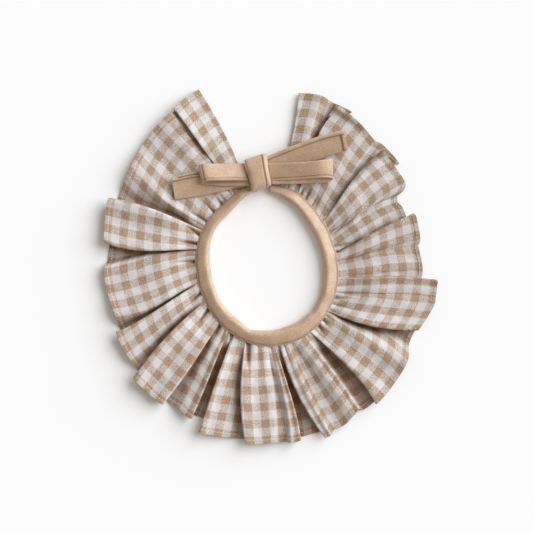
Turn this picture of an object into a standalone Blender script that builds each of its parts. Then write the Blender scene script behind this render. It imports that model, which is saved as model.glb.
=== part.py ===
"""A detachable collar, laid flat with its back opening at the top.

One long strip of cloth is gathered onto the neck edge as a ruffle. A bias tape is rolled over
the gathers as the neck binding, and its two ends tie in a flat bow. Angles are in degrees
around the middle of the neck, counter-clockwise seen from above, with 0 along +X, and the
strip runs from the left free end (near 104) past 360 to the right free end (near 439).
"""

import math

import bmesh
import bpy
import numpy as np

MM = 0.001

# Driving sizes, in millimetres
NECK_AT = (-3.52, 1.81)
CLOTH = 1.3
TAPE = 1.6
SEAM_CLEARANCE = 0.45
BINDING_HEIGHT = 7.2
KNOT_BOTTOM = 5.7

# The ruffle's make-up
SEAM_MIDDLE = 3.2
SEAM_SWING = 1.2
FOLD_MIDDLE_AT_SEAM = 3.4
SEAM_HEIGHT_SHARE = 0.62
SEAM_REACH = 0.3
LIFT_AT_SEAM = 0.36
LIFT_REACH = 0.42
CROWN_SHARE = 0.94
CROWN_SAG = 0.3
SAG_FROM_WIDTH = 14.0
SAG_OVER_WIDTH = 40.0
CROWN_BULGE = 0.4
VALLEY_REACH = 0.22
LEAST_DIP_AT_SEAM = 0.7
DIP_REACH = 0.4
EDGE_TUCK = 3.4
TUCK_REACH = 0.3
SLOPE_SHARE = 0.8
SHARED_SLOPE = 0.45

# The small gathers beside the seam, in millimetres around the mean seam circle
GATHER_RISE = 0.75
GATHER_PITCH = 6.8
GATHER_FADE = 0.36
GATHER_CIRCLE = 58.0
GATHER_SLOW_WAVE = (0.5, 0.37)
GATHER_QUICK_WAVE = (0.3, 1.1)

# Where the bow holds the cloth down: how much, and the angles and radii over which it fades
BOW_PRESS = 0.42
PRESS_LEFT_ANGLES = (144.0, 158.0)
PRESS_LEFT_RADII = (96.0, 112.0)
PRESS_RIGHT_ANGLES = (398.0, 406.0)
PRESS_RIGHT_RADII = (124.0, 138.0)

# Resolution of the ruffle, and how its wall meets the surface
ROWS_OUT = 11
ROW_POWER = 1.12
COLUMN_PITCH = 2.4
LEAST_COLUMNS = 5
SLOPE_COLUMNS = 2
RESTING_BELOW = 0.12
LEAST_TOP = 0.75

# The neck's outline: angle, radius of the binding's outer edge, width of the binding
NECK = (
    (100.5, 62.0, 7.0),
    (106.0, 60.6, 7.2),
    (125.0, 55.9, 8.9),
    (145.0, 55.2, 9.4),
    (165.0, 54.2, 10.7),
    (185.0, 53.5, 11.5),
    (205.0, 53.7, 11.0),
    (225.0, 56.2, 11.3),
    (245.0, 59.3, 11.1),
    (265.0, 62.2, 12.3),
    (285.0, 63.1, 13.1),
    (305.0, 61.8, 11.4),
    (325.0, 59.0, 9.4),
    (345.0, 56.5, 10.6),
    (365.0, 53.9, 10.6),
    (385.0, 53.5, 10.7),
    (405.0, 54.9, 10.4),
    (425.0, 59.0, 10.0),
    (447.0, 61.0, 6.8),
)

# One row for each fold of the ruffle, from its back edge to its fore edge, counter-clockwise.
# Columns: back edge's angle at the seam, halfway and at the hem, its reach from the neck's
# middle, its height and its tuck; the same for the fore edge; then the dip and the reach of the
# valley that follows. A tuck is how far the cloth turns back under the edge, and a negative one
# is a slope outward. A dip of 1 is a valley down to the surface, a lower one a shallow crease.
FOLDS = (
    ((103.9, 107.4, 111.1, 141.8, 2.6, 0.0), (115.6, 118.3, 120.5, 136.4, 8.0, 2.4), 0.5, 134.6),
    ((119.2, 121.4, 120.8, 135.2, 5.4, -9.0), (147.6, 146.6, 146.0, 125.0, 7.0, -20.0), 1.0, 123.0),
    ((153.2, 154.2, 157.5, 128.5, 9.0, 3.0), (167.0, 173.2, 172.2, 122.8, 8.8, 3.2), 1.0, 120.0),
    ((171.0, 177.6, 181.9, 122.5, 6.4, -6.0), (191.6, 199.2, 198.6, 120.1, 7.4, -16.0), 1.0, 120.9),
    ((196.0, 202.8, 204.6, 124.2, 8.4, 3.4), (206.5, 210.8, 214.6, 125.7, 6.2, -12.0), 1.0, 126.0),
    ((212.0, 216.4, 220.9, 131.6, 9.0, 3.2), (231.0, 233.3, 233.4, 131.7, 8.2, 1.6), 1.0, 128.4),
    ((235.4, 238.0, 239.0, 127.8, 5.2, -9.0), (240.4, 243.2, 244.2, 129.8, 8.4, 1.6), 1.0, 127.2),
    ((245.2, 247.0, 248.4, 136.2, 7.8, 1.6), (251.4, 253.4, 255.4, 135.1, 5.6, -16.0), 1.0, 134.0),
    ((255.4, 259.0, 263.6, 136.2, 8.2, 2.6), (268.6, 272.0, 272.2, 135.1, 6.4, -4.0), 0.3, 135.2),
    ((273.4, 277.8, 277.8, 136.2, 8.0, -3.4), (276.4, 280.5, 281.2, 135.4, 7.8, 1.8), 1.0, 133.9),
    ((279.6, 283.6, 288.9, 138.4, 6.2, 1.6), (284.4, 287.8, 290.8, 138.0, 8.0, -3.0), 0.52, 135.6),
    ((293.2, 298.0, 299.6, 132.4, 7.6, -12.0), (299.0, 301.8, 302.8, 129.8, 8.0, 12.0), 1.0, 133.0),
    ((303.6, 309.0, 308.8, 135.0, 7.2, -6.5), (318.5, 323.6, 325.6, 129.4, 8.2, -13.0), 1.0, 124.1),
    ((323.1, 329.5, 336.7, 125.1, 8.4, 3.0), (335.4, 343.6, 346.7, 130.8, 7.2, -6.0), 0.12, 130.4),
    ((339.9, 348.4, 350.9, 130.5, 7.2, -6.0), (348.2, 353.7, 354.5, 129.1, 8.4, 1.6), 0.2, 118.6),
    ((352.2, 357.4, 358.4, 118.4, 5.2, -5.0), (359.6, 364.4, 364.6, 116.3, 5.6, -6.0), 0.15, 115.9),
    ((363.2, 368.4, 368.9, 117.8, 6.6, -6.0), (368.2, 375.8, 378.6, 118.2, 8.8, 2.4), 0.3, 112.0),
    ((371.9, 379.7, 381.6, 111.8, 5.2, -4.0), (380.8, 386.0, 385.2, 110.0, 5.8, -6.0), 0.25, 111.4),
    ((385.4, 390.1, 389.3, 120.8, 7.4, -6.0), (395.5, 403.6, 404.2, 122.4, 9.0, 15.0), 1.0, 126.6),
    ((400.6, 408.3, 409.0, 124.6, 6.0, -7.0), (424.5, 428.0, 426.2, 131.6, 8.0, 12.0), 1.0, 131.2),
    ((429.8, 432.6, 432.5, 133.6, 4.6, -9.0), (439.1, 438.3, 439.2, 131.8, 2.6, 0.0), 1.0, 129.0),
)

# The bow's tapes, seen from above: two opposite edge points and the height of each station
LOOP_LEFT = (
    (-16.6, 76.0, -13.4, 62.6, 10.5),
    (-33.0, 75.6, -29.4, 62.4, 11.1),
    (-46.6, 75.2, -43.4, 61.8, 10.9),
    (-49.6, 74.8, -46.4, 60.6, 9.6),
    (-46.8, 74.2, -43.6, 59.4, 8.3),
    (-33.0, 73.6, -29.6, 58.6, 8.1),
    (-16.0, 73.0, -12.4, 58.8, 8.2),
)
TAIL_LEFT = (
    (-14.9, 70.8, -12.0, 59.4, 5.8),
    (-30.0, 70.2, -27.6, 56.2, 5.7),
    (-50.6, 69.8, -48.4, 51.4, 5.7),
    (-71.4, 65.6, -68.8, 48.4, 5.8),
)
LOOP_RIGHT = (
    (2.0, 75.8, 4.0, 62.6, 10.7),
    (24.0, 76.0, 24.6, 63.4, 11.7),
    (45.6, 77.6, 45.8, 65.0, 11.7),
    (48.8, 77.4, 48.8, 64.0, 10.3),
    (45.6, 76.0, 45.8, 61.8, 8.9),
    (24.0, 73.4, 24.6, 60.4, 8.7),
    (3.0, 73.6, 4.9, 60.2, 8.5),
)
TAIL_RIGHT = (
    (1.0, 81.4, 3.0, 70.0, 6.4),
    (18.0, 88.2, 22.6, 73.6, 6.5),
    (40.0, 96.0, 44.6, 80.2, 6.7),
    (58.4, 100.6, 61.6, 85.6, 7.4),
)

# The knot, from its lower to its upper end: middle, half width and height of its crown
KNOT = (
    (-3.2, 57.0, 6.6, 11.9),
    (-3.4, 58.2, 7.7, 13.9),
    (-4.3, 62.6, 7.9, 15.1),
    (-5.8, 69.6, 8.0, 15.3),
    (-7.3, 76.4, 8.4, 14.7),
    (-8.1, 80.0, 8.5, 13.3),
    (-8.4, 81.2, 7.4, 11.3),
)
KNOT_LEAN = math.radians(16.0)

# The binding's section, with its middle at a share of its height, and its lower ends under the
# knot, over so many degrees
BINDING_MIDDLE = 0.4
END_HEIGHT = 0.72
END_TAPER = 16.0

# How round the tapes' edges and the knot's sides are
TAPE_EDGE = 0.5
TAPE_FLAT = 0.9
KNOT_SIDE_POWER = 0.5
KNOT_TOP_POWER = 0.62
SHARP_FROM = math.radians(50.0)

# Colour and roughness of the two cloths
GINGHAM = ((0.62, 0.50, 0.37), 0.85)
TAN = ((0.56, 0.40, 0.27), 0.80)

# Resolution of the tapes, the knot and the binding
BINDING_STATIONS = 84
BINDING_SIDES = 14
TAPE_STATIONS_A_SPAN = 5
KNOT_SIDES = 20
KNOT_STATIONS_A_SPAN = 2


def clear_scene():
    for old in list(bpy.data.objects):
        bpy.data.objects.remove(old, do_unlink=True)


def ease(t):
    """A smooth step from 0 to 1."""
    t = min(max(t, 0.0), 1.0)
    return t * t * (3.0 - 2.0 * t)


def fade_out(value, limits):
    """1 up to the first limit, 0 from the second one on."""
    return ease((limits[1] - value) / (limits[1] - limits[0]))


def spline(points, spans):
    """A smooth curve through the points, cut into so many steps for each span."""
    points = np.asarray(points, float)
    last = len(points) - 1
    made = []
    for index, steps in enumerate(spans):
        before = points[max(index - 1, 0)]
        start = points[index]
        end = points[index + 1]
        after = points[min(index + 2, last)]
        for step in range(steps):
            t = step / steps
            bend = (2.0 * before - 5.0 * start + 4.0 * end - after) * t * t
            twist = (3.0 * start - before - 3.0 * end + after) * t * t * t
            made.append(0.5 * (2.0 * start + (end - before) * t + bend + twist))
    made.append(points[last])
    return np.array(made)


def neck_at(angle):
    """The radius of the binding's outer edge, and the binding's width, at an angle."""
    rows = np.array(NECK)
    angle = min(max(angle, rows[0, 0]), rows[-1, 0])
    index = min(int(np.searchsorted(rows[:, 0], angle, side="right")) - 1, len(rows) - 2)
    t = (angle - rows[index, 0]) / (rows[index + 1, 0] - rows[index, 0])
    before = rows[max(index - 1, 0)]
    start = rows[index]
    end = rows[index + 1]
    after = rows[min(index + 2, len(rows) - 1)]
    bend = (2.0 * before - 5.0 * start + 4.0 * end - after) * t * t
    twist = (3.0 * start - before - 3.0 * end + after) * t * t * t
    row = 0.5 * (2.0 * start + (end - before) * t + bend + twist)
    return row[1], row[2]


def along_fold(seam, halfway, hem, out):
    """The angle of a fold's edge, on a curve through its three given angles."""
    return (
        seam * (1.0 - out) * (1.0 - 2.0 * out)
        + halfway * 4.0 * out * (1.0 - out)
        + hem * out * (2.0 * out - 1.0)
    )


def bow_press(angle, radius):
    """How much the bow holds the cloth down there, from 0 to BOW_PRESS."""
    left = fade_out(angle, PRESS_LEFT_ANGLES) * fade_out(radius, PRESS_LEFT_RADII)
    right = (1.0 - fade_out(angle, PRESS_RIGHT_ANGLES)) * fade_out(radius, PRESS_RIGHT_RADII)
    return BOW_PRESS * max(left, right)


def section_keys(out):
    """The turning points of the section that runs round at one distance out from the seam.

    Each is an angle, a reach and a height, five to a fold.
    """
    lift = LIFT_AT_SEAM + (1.0 - LIFT_AT_SEAM) * ease(out / LIFT_REACH)
    keys = []
    for index, (back, fore, _, valley_reach) in enumerate(FOLDS):
        back_angle = along_fold(*back[:3], out)
        fore_angle = along_fold(*fore[:3], out)
        seam_radius = neck_at(0.5 * (back_angle + fore_angle))[0]
        degree = math.radians(seam_radius + out * (back[3] - seam_radius))
        before = FOLDS[index - 1] if index else None
        after = FOLDS[index + 1] if index + 1 < len(FOLDS) else None
        width = (fore_angle - back_angle) * degree
        sag = CROWN_SHARE - CROWN_SAG * ease((width - SAG_FROM_WIDTH) / SAG_OVER_WIDTH)
        crown_height = 0.5 * (back[4] + fore[4]) * lift * sag
        crown_reach = 0.5 * (back[3] + fore[3]) + CROWN_BULGE
        if before:
            gap = (back_angle - along_fold(*before[1][:3], out)) * degree
            shift = foot_shift(back[5], before[1][5], gap, out)
            low = valley_height(before, FOLDS[index], lift, out)
            keys.append((back_angle + shift / degree, before[3], low))
        keys.append((back_angle, back[3], back[4] * lift))
        keys.append((0.5 * (back_angle + fore_angle), crown_reach, crown_height))
        keys.append((fore_angle, fore[3], fore[4] * lift))
        if after:
            gap = (along_fold(*after[0][:3], out) - fore_angle) * degree
            shift = foot_shift(fore[5], after[0][5], gap, out)
            low = valley_height(FOLDS[index], after, lift, out)
            keys.append((fore_angle - shift / degree, valley_reach, low))
    return keys


def valley_height(fold, following, lift, out):
    """The height of the valley between two folds."""
    level = min(fold[1][4], following[0][4]) * lift
    at_seam = SEAM_MIDDLE - SEAM_SWING - 0.5 * CLOTH
    floor = 0.5 * CLOTH + (1.0 - ease(out / VALLEY_REACH)) * at_seam
    dip = fold[2] + max(LEAST_DIP_AT_SEAM - fold[2], 0.0) * (1.0 - ease(out / DIP_REACH))
    return level + (floor - level) * dip


def foot_shift(tuck, other, gap, out):
    """How far the foot of an edge lies back under its fold, or out from it where negative."""
    if tuck > 0.0:
        edge = min(tuck, EDGE_TUCK) * ease(out / TUCK_REACH)
        return edge + max(tuck - EDGE_TUCK, 0.0) * out ** 3
    room = gap * (SLOPE_SHARE if other > 0.0 else SHARED_SLOPE)
    return max(tuck, -room)


def spans_of_section():
    """How many columns each span of the section gets, from the fold's width at the seam."""
    spans = []
    for index, (back, fore, _, _) in enumerate(FOLDS):
        width = math.radians(fore[0] - back[0]) * neck_at(0.5 * (back[0] + fore[0]))[0]
        across = max(LEAST_COLUMNS, round(width / COLUMN_PITCH))
        if index:
            spans.append(SLOPE_COLUMNS)
        spans.append(across // 2)
        spans.append(across - across // 2)
        if index + 1 < len(FOLDS):
            spans.extend((SLOPE_COLUMNS, 1))
    return spans


def gathers(angle, out):
    """The height that the small gathers add beside the seam."""
    fade = ease(1.0 - out / GATHER_FADE)
    around = math.radians(angle) * GATHER_CIRCLE / GATHER_PITCH
    slow, slow_rate = GATHER_SLOW_WAVE
    quick, quick_rate = GATHER_QUICK_WAVE
    uneven = slow * math.sin(slow_rate * around) + quick * math.sin(quick_rate * around)
    return GATHER_RISE * fade * math.sin(2.0 * math.pi * (around + uneven))


def ruffle_sheet():
    """The middle of the ruffle's cloth, as rows of points from the seam out to the hem."""
    spans = spans_of_section()
    sheet = []
    for step in range(ROWS_OUT):
        out = (step / (ROWS_OUT - 1)) ** ROW_POWER
        row = []
        for angle, reach, height in spline(section_keys(out), spans):
            seam_radius = neck_at(angle)[0] + SEAM_CLEARANCE
            radius = seam_radius + out * (reach - seam_radius)
            seam_pull = ease(1.0 - out / SEAM_REACH)
            base = SEAM_MIDDLE + (height - FOLD_MIDDLE_AT_SEAM) * SEAM_HEIGHT_SHARE
            height = height + (base - height) * seam_pull + gathers(angle, out)
            floor = 0.5 * CLOTH
            height = floor + max(height - floor, 0.0) * (1.0 - bow_press(angle, radius))
            turn = math.radians(angle)
            row.append((radius * math.cos(turn), radius * math.sin(turn), height))
        sheet.append(row)
    return np.array(sheet)


def unit(vectors):
    return vectors / np.linalg.norm(vectors, axis=-1, keepdims=True)


def wall_from_sheet(sheet, thickness):
    """A closed wall around a sheet of points: its points and its faces."""
    round_the_neck = np.gradient(sheet, axis=1)
    outward = np.gradient(sheet, axis=0)
    normal = unit(np.cross(outward, round_the_neck))
    upper = sheet + 0.5 * thickness * normal
    lower = sheet - 0.5 * thickness * normal
    lower[..., 2] = np.where(lower[..., 2] < RESTING_BELOW, 0.0, lower[..., 2])
    upper[..., 2] = np.maximum(upper[..., 2], LEAST_TOP * thickness)
    rows, columns = sheet.shape[:2]
    points = np.concatenate([upper.reshape(-1, 3), lower.reshape(-1, 3)])
    under = rows * columns
    faces = []
    for i in range(rows - 1):
        for j in range(columns - 1):
            a = i * columns + j
            b = a + columns
            faces.append((a, b, b + 1, a + 1))
            faces.append((under + a, under + a + 1, under + b + 1, under + b))
    for j in range(columns - 1):
        last = (rows - 1) * columns + j
        faces.append((j, j + 1, under + j + 1, under + j))
        faces.append((last + 1, last, under + last, under + last + 1))
    for i in range(rows - 1):
        a = i * columns
        b = a + columns
        end = a + columns - 1
        faces.append((b, a, under + a, under + b))
        faces.append((end, end + columns, under + end + columns, under + end))
    return points, faces


def tube_through(rings):
    """A closed body through rings of points, with a fan of faces on each end."""
    rings = np.asarray(rings)
    count, sides = rings.shape[:2]
    points = np.concatenate([rings.reshape(-1, 3), [rings[0].mean(axis=0)], [rings[-1].mean(axis=0)]])
    first = count * sides
    faces = []
    for i in range(count - 1):
        for k in range(sides):
            a = i * sides + k
            b = i * sides + (k + 1) % sides
            faces.append((a, b, b + sides, a + sides))
    for k in range(sides):
        following = (k + 1) % sides
        faces.append((first, following, k))
        last = (count - 1) * sides
        faces.append((first + 1, last + k, last + following))
    return points, faces


def binding_rings():
    """Rounded sections with a flat underside, all the way round the neck."""
    start = NECK[0][0]
    end = NECK[-1][0]
    rings = []
    for station in range(BINDING_STATIONS + 1):
        angle = start + (end - start) * station / BINDING_STATIONS
        outer, width = neck_at(angle)
        near_end = min(angle - start, end - angle)
        height = BINDING_HEIGHT * (END_HEIGHT + (1.0 - END_HEIGHT) * ease(near_end / END_TAPER))
        turn = math.radians(angle)
        ring = []
        for side in range(BINDING_SIDES):
            swing = 2.0 * math.pi * (side + 0.5) / BINDING_SIDES
            radius = outer - 0.5 * width * (1.0 + math.cos(swing))
            level = height * (BINDING_MIDDLE + (1.0 - BINDING_MIDDLE) * math.sin(swing))
            level = max(level, 0.0)
            ring.append((radius * math.cos(turn), radius * math.sin(turn), level))
        rings.append(ring)
    return rings


def tape_rings(rows):
    """Flat sections with rounded edges along a tape's stations."""
    rows = np.asarray(rows, float)
    spans = [TAPE_STATIONS_A_SPAN] * (len(rows) - 1)
    edge_a = spline(rows[:, (0, 1, 4)], spans)
    edge_b = spline(rows[:, (2, 3, 4)], spans)
    middle = 0.5 * (edge_a + edge_b)
    along = unit(np.gradient(middle, axis=0))
    across = unit(edge_b - edge_a)
    up = unit(np.cross(across, along))
    half = 0.5 * TAPE
    rings = []
    for a, b, side, rise in zip(edge_a, edge_b, across, up):
        inset = side * half * TAPE_FLAT
        upper = rise * half
        edge = upper * TAPE_EDGE
        ring = (
            a + edge,
            a + inset + upper,
            0.5 * (a + b) + upper,
            b - inset + upper,
            b + edge,
            b - edge,
            b - inset - upper,
            0.5 * (a + b) - upper,
            a + inset - upper,
            a - edge,
        )
        rings.append(ring)
    return rings


def knot_rings():
    """Rounded box sections along the knot."""
    rows = np.array(KNOT)
    rows = spline(rows, [KNOT_STATIONS_A_SPAN] * (len(rows) - 1))
    side = (math.cos(KNOT_LEAN), math.sin(KNOT_LEAN))
    rings = []
    for x, y, half_width, top in rows:
        middle = 0.5 * (KNOT_BOTTOM + top)
        half_height = 0.5 * (top - KNOT_BOTTOM)
        ring = []
        for k in range(KNOT_SIDES):
            swing = 2.0 * math.pi * k / KNOT_SIDES
            wide = math.copysign(abs(math.cos(swing)) ** KNOT_SIDE_POWER, math.cos(swing))
            high = math.copysign(abs(math.sin(swing)) ** KNOT_TOP_POWER, math.sin(swing))
            reach = wide * half_width
            level = middle + high * half_height
            ring.append((x + side[0] * reach, y + side[1] * reach, level))
        rings.append(ring)
    return rings


def material(name, colour, roughness):
    made = bpy.data.materials.new(name)
    made.use_nodes = True
    shader = made.node_tree.nodes["Principled BSDF"]
    shader.inputs["Base Color"].default_value = (*colour, 1.0)
    shader.inputs["Roughness"].default_value = roughness
    shader.inputs["Metallic"].default_value = 0.0
    return made


def build(name, points, faces, look, parent, collection):
    """One named solid, its points given in millimetres about the neck's middle."""
    placed = [tuple(float(value) * MM for value in point) for point in points]
    mesh = bpy.data.meshes.new(name)
    mesh.from_pydata(placed, [], faces)
    shape = bmesh.new()
    shape.from_mesh(mesh)
    bmesh.ops.recalc_face_normals(shape, faces=shape.faces)
    shape.to_mesh(mesh)
    shape.free()
    mesh.shade_smooth()
    mesh.set_sharp_from_angle(angle=SHARP_FROM)
    mesh.materials.append(look)
    made = bpy.data.objects.new(name, mesh)
    collection.objects.link(made)
    made.parent = parent
    return made


def main():
    clear_scene()
    collection = bpy.data.collections.new("detachable_collar")
    bpy.context.scene.collection.children.link(collection)
    neck = bpy.data.objects.new("neck_middle", None)
    neck.location = (NECK_AT[0] * MM, NECK_AT[1] * MM, 0.0)
    collection.objects.link(neck)

    gingham = material("gingham_cotton", *GINGHAM)
    tan = material("tan_tape", *TAN)

    points, faces = wall_from_sheet(ruffle_sheet(), CLOTH)
    build("ruffle", points, faces, gingham, neck, collection)
    points, faces = tube_through(binding_rings())
    build("neck_binding", points, faces, tan, neck, collection)
    tapes = {
        "loop_left": LOOP_LEFT,
        "tail_left": TAIL_LEFT,
        "loop_right": LOOP_RIGHT,
        "tail_right": TAIL_RIGHT,
    }
    for name, rows in tapes.items():
        points, faces = tube_through(tape_rings(rows))
        build(name, points, faces, tan, neck, collection)
    points, faces = tube_through(knot_rings())
    build("knot", points, faces, tan, neck, collection)


main()
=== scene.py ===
"""The looks of the detachable collar: a gingham ruffle, its rolled neck binding and the bow.

The ruffle is one strip of cloth on the same folds as its solid, cut much finer, with a turned
hem, and gathers and small dark pockets along the seam. Sizes are in millimetres about the
middle of the neck, and angles in degrees, counter-clockwise from +X.
"""

import math

import bpy
import numpy as np
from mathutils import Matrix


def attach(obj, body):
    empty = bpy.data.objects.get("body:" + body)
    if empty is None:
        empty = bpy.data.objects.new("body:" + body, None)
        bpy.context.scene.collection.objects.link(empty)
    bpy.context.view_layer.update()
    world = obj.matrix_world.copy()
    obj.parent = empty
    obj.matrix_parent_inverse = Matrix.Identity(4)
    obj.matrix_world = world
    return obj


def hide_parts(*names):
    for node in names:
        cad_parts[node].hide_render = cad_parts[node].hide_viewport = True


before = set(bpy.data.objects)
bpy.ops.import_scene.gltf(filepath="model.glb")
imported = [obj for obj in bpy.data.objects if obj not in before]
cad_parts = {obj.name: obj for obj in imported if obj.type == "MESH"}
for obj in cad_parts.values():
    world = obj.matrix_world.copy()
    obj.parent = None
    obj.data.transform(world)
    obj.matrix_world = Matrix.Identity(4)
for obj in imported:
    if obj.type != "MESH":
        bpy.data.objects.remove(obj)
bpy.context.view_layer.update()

MM = 0.001

# Driving sizes, in millimetres
NECK_AT = (-3.52, 1.81)
NECK_RADIUS = 58.0
CLOTH_DEPTH = 76.0
HEM_RADIUS = 110.0
CHECK = 12.7
YARN = 0.46
CLOTH = 0.55
HEM_WIDTH = 2.8
HEM_EXTRA = 0.55
BINDING_HEIGHT = 7.2
TAPE = 1.5
TAPE_YARN = 0.42

# How finely curves and sheets are cut
CURVE_STEPS = 24
ROWS_OUT = 50
ROW_POWER = 1.15
HEM_ROWS = (1.08, 0.94, 0.6, 0.25, 0.05, 0.0)
HEM_ROWS_FROM = 1.25
COLUMNS = 880
COLUMNS_AT = 0.8
SHORT_SPAN_EXTRA = 1.5
LEAST_COLUMNS = 4
COLUMN_WIDTH = 1.05

# Beside the seam: where the cloth starts, its level there and how far out it settles
SEAM_INSET = 1.3
SEAM_MIDDLE = 3.2
SEAM_LEVEL = 3.4
SEAM_HEIGHT_SHARE = 0.62
SEAM_REACH = 0.3
LIFT_AT_SEAM = 0.36
LIFT_GAIN = 0.64
LIFT_REACH = 0.42

# The folds' crowns: their bulge at the hem, and how they sag where they are wide
CROWN_BULGE = 0.4
CROWN_SHARE = 0.94
CROWN_SAG = 0.3
SAG_FROM_WIDTH = 14.0
SAG_OVER_WIDTH = 40.0

# The valleys: clear of the surface, raised and pinched in beside the seam
VALLEY_CLEARANCE = 0.1
VALLEY_RISE = 1.4
VALLEY_REACH = 0.22
LEAST_DIP_AT_SEAM = 0.7
DIP_REACH = 0.4

# The folds' feet, in under their edges or out along a slope
EDGE_TUCK = 3.4
TUCK_REACH = 0.3
SLOPE_SHARE = 0.8
SHARED_SLOPE = 0.45

# The gathers: their spacing and two waves in it, by size, rate and phase; their lengths; the
# roundness and middle of a puff; and how its rise varies and fades
GATHER_PITCH = 7.4
GATHER_WAVES = ((0.42, 0.83, 0.0), (0.23, 2.1, 1.0))
GATHER_SHORTEST = 9.0
GATHER_LONGER = 34.0
GATHER_LENGTH_POWER = 1.4
GATHER_ROUND = 0.6
GATHER_MIDDLE = 0.68
GATHER_RISE = 1.5
GATHER_LEAST_SHARE = 0.7
GATHER_MORE_SHARE = 0.5
GATHER_FADE = 1.3
HASH_RATE = 12.9898
HASH_SIZE = 43758.5453

# The slight unevenness of handled cloth: rise, wavelength along and across, and phase
BUCKLES = (
    (0.16, 31.0, 23.0, 0.4),
    (0.12, 17.0, -29.0, 2.1),
    (0.09, 11.0, 19.0, 4.4),
    (0.06, -7.5, 13.0, 1.3),
)
BUCKLES_FROM = 25.0

# Where the bow presses the cloth down: the angle that ends it and its fade, and the same for the
# radius
PRESS_LEFT = (158.0, 14.0, 108.0, 16.0)
PRESS_RIGHT = (398.0, 8.0, 138.0, 14.0)
PRESSED_HEIGHT = 4.2
UNPRESSED_ROOM = 14.0
PRESS_BLEND = 1.2
REST_CLEARANCE = 0.05
REST_BLEND = 0.5
LEAST_TOP = 0.3

# The pattern: spread by the gathers beside the seam, and where it jumps from fold to fold
GATHERED_SPREAD = 0.35
GATHERED_REACH = 0.55
SPANS_A_FOLD = 5
PATTERN_JUMP = 4.0

# The hems' soft inner edges, along the cloth and at its two ends
HEM_BLEND = 0.5
END_HEM_BLEND = 1.2

# How closed in a place must be to count as a crease and get painted shade, and how many columns
# away is looked at
CREASE_REACH = 18
CREASE_LEAST_APART = 0.6
CREASE_FROM = 0.1
CREASE_FULL = 0.75

# Stitches: pitch, length and width, then their form and how they sit on the cloth
HEM_STITCH = (2.5, 1.8, 0.42)
BINDING_STITCH = (2.2, 1.5, 0.3)
STITCH_ROUND = 0.7
STITCH_FLAT = 0.7
STITCH_LIFT = 0.04

# The neck's outline: angle, radius of the binding's outer edge, width of the binding
NECK = (
    (100.5, 62.0, 7.0),
    (106.0, 60.6, 7.2),
    (125.0, 55.9, 8.9),
    (145.0, 55.2, 9.4),
    (165.0, 54.2, 10.7),
    (185.0, 53.5, 11.5),
    (205.0, 53.7, 11.0),
    (225.0, 56.2, 11.3),
    (245.0, 59.3, 11.1),
    (265.0, 62.2, 12.3),
    (285.0, 63.1, 13.1),
    (305.0, 61.8, 11.4),
    (325.0, 59.0, 9.4),
    (345.0, 56.5, 10.6),
    (365.0, 53.9, 10.6),
    (385.0, 53.5, 10.7),
    (405.0, 54.9, 10.4),
    (425.0, 59.0, 10.0),
    (447.0, 61.0, 6.8),
)

# How far the binding's inner edge is drawn in, by angle: its small corners and dents
BINDING_INNER = (
    (100.5, 0.0),
    (118.0, 0.0),
    (126.0, -0.5),
    (156.0, -0.5),
    (180.0, 0.0),
    (204.0, 0.5),
    (218.0, 0.0),
    (230.0, 0.6),
    (240.0, 1.2),
    (247.0, 0.9),
    (251.0, 0.0),
    (256.5, -1.4),
    (262.0, -0.8),
    (268.0, 0.0),
    (280.0, -0.1),
    (290.0, 0.5),
    (300.0, 0.6),
    (310.0, 1.2),
    (315.5, 0.1),
    (320.0, 0.8),
    (325.0, 1.4),
    (331.0, 0.8),
    (350.0, 0.8),
    (366.0, 0.4),
    (380.0, 0.5),
    (400.0, 0.7),
    (412.0, 0.5),
    (424.0, 0.0),
)

# The binding's section: places across it, -1 at its outer edge and 1 at its inner edge, and the
# share of its height there
BINDING_PROFILE = (
    (-1.0, 0.32),
    (-0.98, 0.5),
    (-0.84, 0.6),
    (-0.4, 0.79),
    (0.1, 0.95),
    (0.45, 1.0),
    (0.74, 0.9),
    (0.94, 0.62),
    (0.98, 0.28),
    (0.82, 0.02),
    (0.3, 0.0),
    (-0.5, 0.0),
    (-0.94, 0.06),
)
UNDER_KNOT = 3.5
BINDING_STATIONS = 420
BINDING_SIDES = 52
BINDING_TOP_FROM = 0.45

# The binding's lower ends, and its unevenness inside the seam: size, pitch and phase
END_HEIGHT = 0.72
END_HEIGHT_GAIN = 0.28
END_TAPER = 16.0
BINDING_WAVES = ((0.16, 3.1, 0.0), (0.12, 5.3, 1.0), (0.1, 1.9, 0.0))
UNEVEN_TO = 0.5

# The groove along the binding's stitching, and the painted shade in it
STITCH_ACROSS = -0.8
STITCH_GROOVE_WIDTH = 0.08
STITCH_GROOVE_DEPTH = 0.95
STITCH_GROOVE_SHADE = 1.4
STITCH_LINE_LIFT = 0.12
UNSTITCHED_STATIONS = 12

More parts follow.
